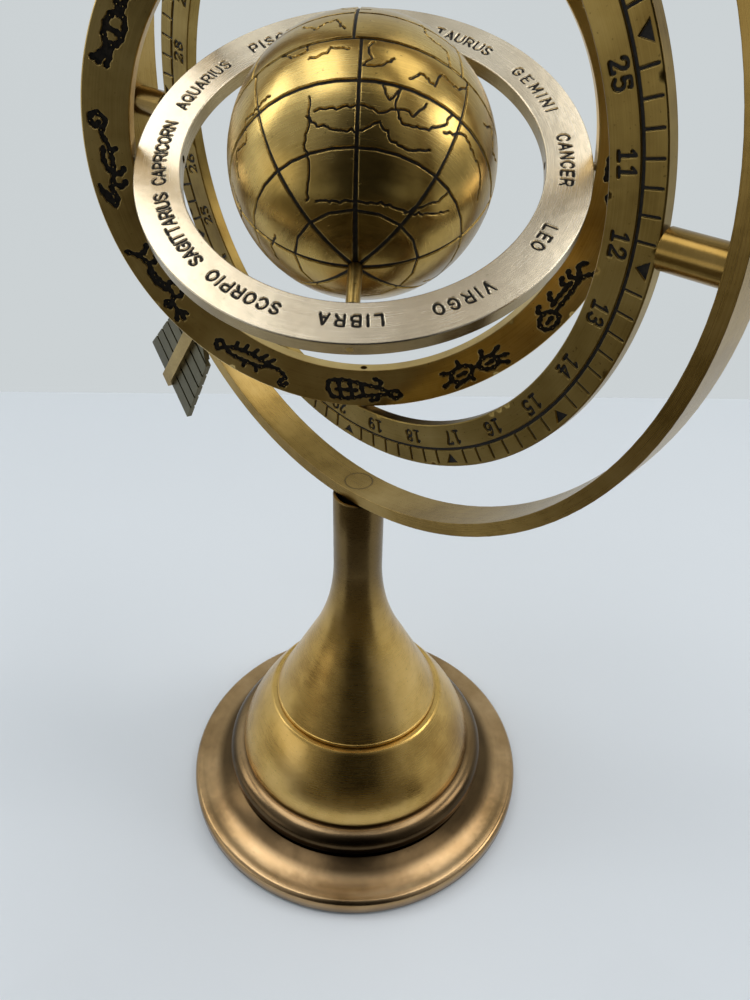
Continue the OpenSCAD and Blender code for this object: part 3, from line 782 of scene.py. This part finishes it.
FOOT_R, FOOT_H, FELT_R = 60.0, 9.2, 57.4
BEAD_R, BEAD_TOP = 46.3, 19.4
BELL_R, BELL_TOP_R, BELL_TOP = 41.0, 29.5, 43.8
foot = [(2.6, 6.8), (28, 6.8), (FELT_R - 7, 4.4), (FELT_R, 1.5), (FELT_R, 0.5), (FOOT_R - 1, 0.5), (FOOT_R - 0.3, 0.8),
        (FOOT_R, 1.5)]
foot += arc(FOOT_R - 2.2, 4.2, 2.2, 0, 78, 10)
foot += [(FOOT_R - 3.4 - t * (FOOT_R - 3.4 - BEAD_R + 1), 6.3 + (FOOT_H - 6.3) * t ** 1.8)
         for t in (i / 24 for i in range(25))]
foot += [(2.6, FOOT_H)]
lathe("foot_turned", foot, ROSY, "foot")

bead_arc = (BEAD_TOP - FOOT_H) / 2
lathe("bead_turned", [(34, FOOT_H)] + arc(BEAD_R - bead_arc, FOOT_H + bead_arc, bead_arc, -90, 90, 36) + [(34, BEAD_TOP)],
      ROSY, "bead_ring")


def bell_at(t, inset=0.0):
    return (BELL_R - (BELL_R - BELL_TOP_R) * t ** 1.6 - inset, BEAD_TOP + t * (BELL_TOP - BEAD_TOP))


bell = [(35, BEAD_TOP)] + [bell_at(i / 48) for i in range(48)] + [(BELL_TOP_R + 0.1, BELL_TOP - 0.25), (BELL_TOP_R - 0.25, BELL_TOP)]
bell += [(8.5, BELL_TOP), (8.5, BELL_TOP - 1.6)]
bell += [(bell_at(1 - i / 24)[0] - 1.6, bell_at(1 - i / 24)[1] - 1.6 + 3.2 * i / 24) for i in range(25)] + [(35, BEAD_TOP + 1.6)]
lathe("bell_turned", bell, ANTIQUE, "bell")

TUBE_R, BORE_R, STEM_TOP, FLARE_R = 7.6, 6.6, 127.3, 27.7


def arc_r(z):
    return TUBE_R + 70 - math.sqrt(70 * 70 - (101 - z) ** 2)


cone_low = BELL_TOP + 1.4
stem = [(FLARE_R - 0.2, BELL_TOP), (FLARE_R, BELL_TOP + 0.25), (FLARE_R, cone_low - 0.35), (FLARE_R - 0.15, cone_low - 0.05)]
stem += [(FLARE_R - 0.4 + (arc_r(68) - FLARE_R + 0.4) * i / 12, cone_low + 0.05 + (68 - cone_low - 0.05) * i / 12) for i in range(12)]
stem += [(arc_r(68 + 33 * i / 40), 68 + 33 * i / 40) for i in range(41)]
stem += [(TUBE_R, 114), (TUBE_R, STEM_TOP - 0.35), (TUBE_R - 0.1, STEM_TOP - 0.1), (TUBE_R - 0.35, STEM_TOP),
         (BORE_R + 0.15, STEM_TOP), (BORE_R, STEM_TOP - 0.15), (BORE_R, 100), (5.4, 100), (5.4, 94), (arc_r(88) - 2, 88),
         (arc_r(78) - 2, 78), (arc_r(68) - 2, 68), (FLARE_R - 7, BELL_TOP)]
lathe("stem_turned", stem, ANTIQUE, "trumpet_stem")

# ---------------------------------------------------------------- CAD nodes that stay
KEPT = {
    POST: ("near_pivot_post", "far_pivot_post"),
    VANES: ("arrow_vane_left", "arrow_vane_right"),
    PLAIN: ("arrow_tail_shaft", "arrow_head_shaft", "arrow_head", "stem_bush", "globe_axle", "globe_front_sleeve", "globe_back_sleeve"),
    STRAP: ("outer_ring", "ring_post"),
    STEEL: ("tie_rod", "tie_washer", "tie_nut", "near_pivot_pin", "far_pivot_pin", "upper_hour_pin", "lower_hour_pin",
            "left_figures_pin", "right_figures_pin"),
    FELT: ("felt_pad",),
}
for mat, names in KEPT.items():
    for n in names:
        for s in NODES[n].material_slots:
            s.material = mat

# ---------------------------------------------------------------- table, light and camera
def stage_mesh(name, verts, faces, mat):
    me = bpy.data.meshes.new(name)
    me.from_pydata(verts, [], faces)
    me.materials.append(mat)
    o = bpy.data.objects.new(name, me)
    bpy.context.scene.collection.objects.link(o)
    return o


def plain(name, colour, rough, see_through_back=False):
    m = bpy.data.materials.new(name)
    m.use_nodes = True
    nt = m.node_tree
    p = nt.nodes["Principled BSDF"]
    p.inputs["Roughness"].default_value = rough
    p.inputs["Specular IOR Level"].default_value = 0.2
    tex = node(nt, "ShaderNodeTexCoord").outputs["Object"]
    nt.links.new(ramp(nt, noise_tex(nt, tex, 6.0, 3.0), [(0.3, tuple(c * 0.985 for c in colour)), (0.7, colour)]),
                 p.inputs["Base Color"])
    if see_through_back:
        clear, both, geo = (node(nt, "ShaderNodeBsdfTransparent"), node(nt, "ShaderNodeMixShader"),
                            node(nt, "ShaderNodeNewGeometry"))
        nt.links.new(geo.outputs["Backfacing"], both.inputs[0])
        p.inputs["Base Color"].default_value = (0, 0, 0, 1)
        nt.links.new(p.inputs["Base Color"].links[0].from_socket, p.inputs["Emission Color"])
        nt.links.remove(p.inputs["Base Color"].links[0])
        p.inputs["Emission Strength"].default_value = 1.0
        nt.links.new(p.outputs[0], both.inputs[1])
        nt.links.new(clear.outputs[0], both.inputs[2])
        nt.links.new(both.outputs[0], nt.nodes["Material Output"].inputs[0])
    return m


stage_mesh("table_top", [(-3, -3, 0), (3, -3, 0), (3, 3, 0), (-3, 3, 0)], [(0, 1, 2, 3)],
           plain("table_white", (0.78, 0.82, 0.86), 0.5))
front = Vector((0.7096, -0.7046, 0)).normalized()
side = Vector((front.y, -front.x, 0))
wall_v = [tuple(side * s - front * 0.2855 + Vector((0, 0, z))) for s, z in ((-3, 0), (3, 0), (3, 0.7), (-3, 0.7))]
stage_mesh("back_wall", wall_v, [(3, 2, 1, 0)], plain("wall_white", (0.60, 0.64, 0.655), 0.8, True))


def dark_card(name, shade, verts, faces):
    """A black card that only reflections see, as the dark room in front of the table."""
    o = stage_mesh(name, verts, faces, plain(name, shade, 0.9))
    o.visible_camera = o.visible_diffuse = o.visible_shadow = False


def card_patch(angles, rows):
    grid = []
    for r, z in rows:
        grid.append([tuple(front * (r * math.cos(math.radians(a))) + side * (r * math.sin(math.radians(a)))
                           + Vector((0, 0, z))) for a in angles])
    verts = [v for row in grid for v in row]
    n = len(angles)
    return verts, [(k * n + i, k * n + i + 1, (k + 1) * n + i + 1, (k + 1) * n + i)
                   for k in range(len(rows) - 1) for i in range(n - 1)]


dark_card("front_card_low", (0.10, 0.085, 0.06), *card_patch(range(-52, 53, 8), [(0.11, 0.0006), (0.95, 0.0006)]))
dark_card("left_card_low", (0.16, 0.14, 0.10), *card_patch(range(52, 97, 9), [(0.19, 0.0006), (0.95, 0.0006)]))
dark_card("front_card_high", (0.012, 0.011, 0.010), *card_patch(range(-24, 25, 8), [(0.9, 0.0), (0.9, 0.5), (0.75, 0.9), (0.5, 1.1), (0.25, 1.2)]))


def area(name, at, target, size, power, colour=(1, 1, 1), size_y=None):
    d = bpy.data.lights.new(name, "AREA")
    d.energy, d.size, d.color = power, size, colour
    if size_y:
        d.shape, d.size_y = "RECTANGLE", size_y
    o = bpy.data.objects.new(name, d)
    o.location = at
    o.rotation_euler = (Vector(target) - Vector(at)).to_track_quat("-Z", "Y").to_euler()
    bpy.context.scene.collection.objects.link(o)
    return o


for name, s in (("ceiling_left", 0.52), ("ceiling_right", -0.52)):
    strip = area(name, tuple(front * -0.25 + side * s + Vector((0, 0, 1.3))), (0, 0, 0), 0.5, 4.6, (1, 0.99, 0.97), 1.3)
    strip.rotation_euler = (0, 0, math.atan2(front.y, front.x) - math.pi / 2)
area("left_window", tuple(front * 0.3 + side * 1.15 + Vector((0, 0, 0.14))), (0, 0, 0.08), 0.9, 1.0, (1, 0.99, 0.97), 0.5)
area("left_softbox", (-0.95, -0.5, 0.8), (0, 0, 0.15), 0.6, 4.0, (0.97, 0.99, 1))
area("right_softbox", (0.9, 0.75, 0.8), (0, 0, 0.15), 0.5, 3.5, (1, 0.98, 0.96))

world = bpy.data.worlds.new("studio")
bpy.context.scene.world = world
world.use_nodes = True
wt = world.node_tree
bg = wt.nodes["Background"]
way = node(wt, "ShaderNodeTexCoord").outputs["Generated"]
dotp = node(wt, "ShaderNodeVectorMath", operation="DOT_PRODUCT")
wt.links.new(way, dotp.inputs[0])
dotp.inputs[1].default_value = Vector((0.66, -0.68, 0.15)).normalized()
wt.links.new(ramp(wt, dotp.outputs["Value"], [(0.55, (0.42, 0.44, 0.46)), (0.92, (0.05, 0.048, 0.045)),
                                              (0.8, (0.2, 0.2, 0.2))]),
             bg.inputs["Color"])
bg.inputs["Strength"].default_value = 1.0

cam = bpy.data.cameras.new("photo_view")
cam.sensor_width, cam.sensor_fit, cam.lens = 36, "AUTO", 29.73
cam.clip_start, cam.clip_end = 0.01, 20
cam_ob = bpy.data.objects.new("photo_view", cam)
right, up, fwd = (Vector(v).normalized() for v in ((0.717163, 0.696574, 0.021549), (-0.426445, 0.414175, 0.804123),
                                                  (-0.5512, 0.5859, -0.5941)))
up = (up - fwd * up.dot(fwd)).normalized()
right = fwd.cross(up)
m = Matrix((right, up, -fwd)).transposed().to_4x4()
m.translation = Vector((0.13814, -0.13976, 0.26978))
cam_ob.matrix_world = m
bpy.context.scene.collection.objects.link(cam_ob)
bpy.context.scene.camera = cam_ob
bpy.context.scene.view_settings.view_transform = "Standard"
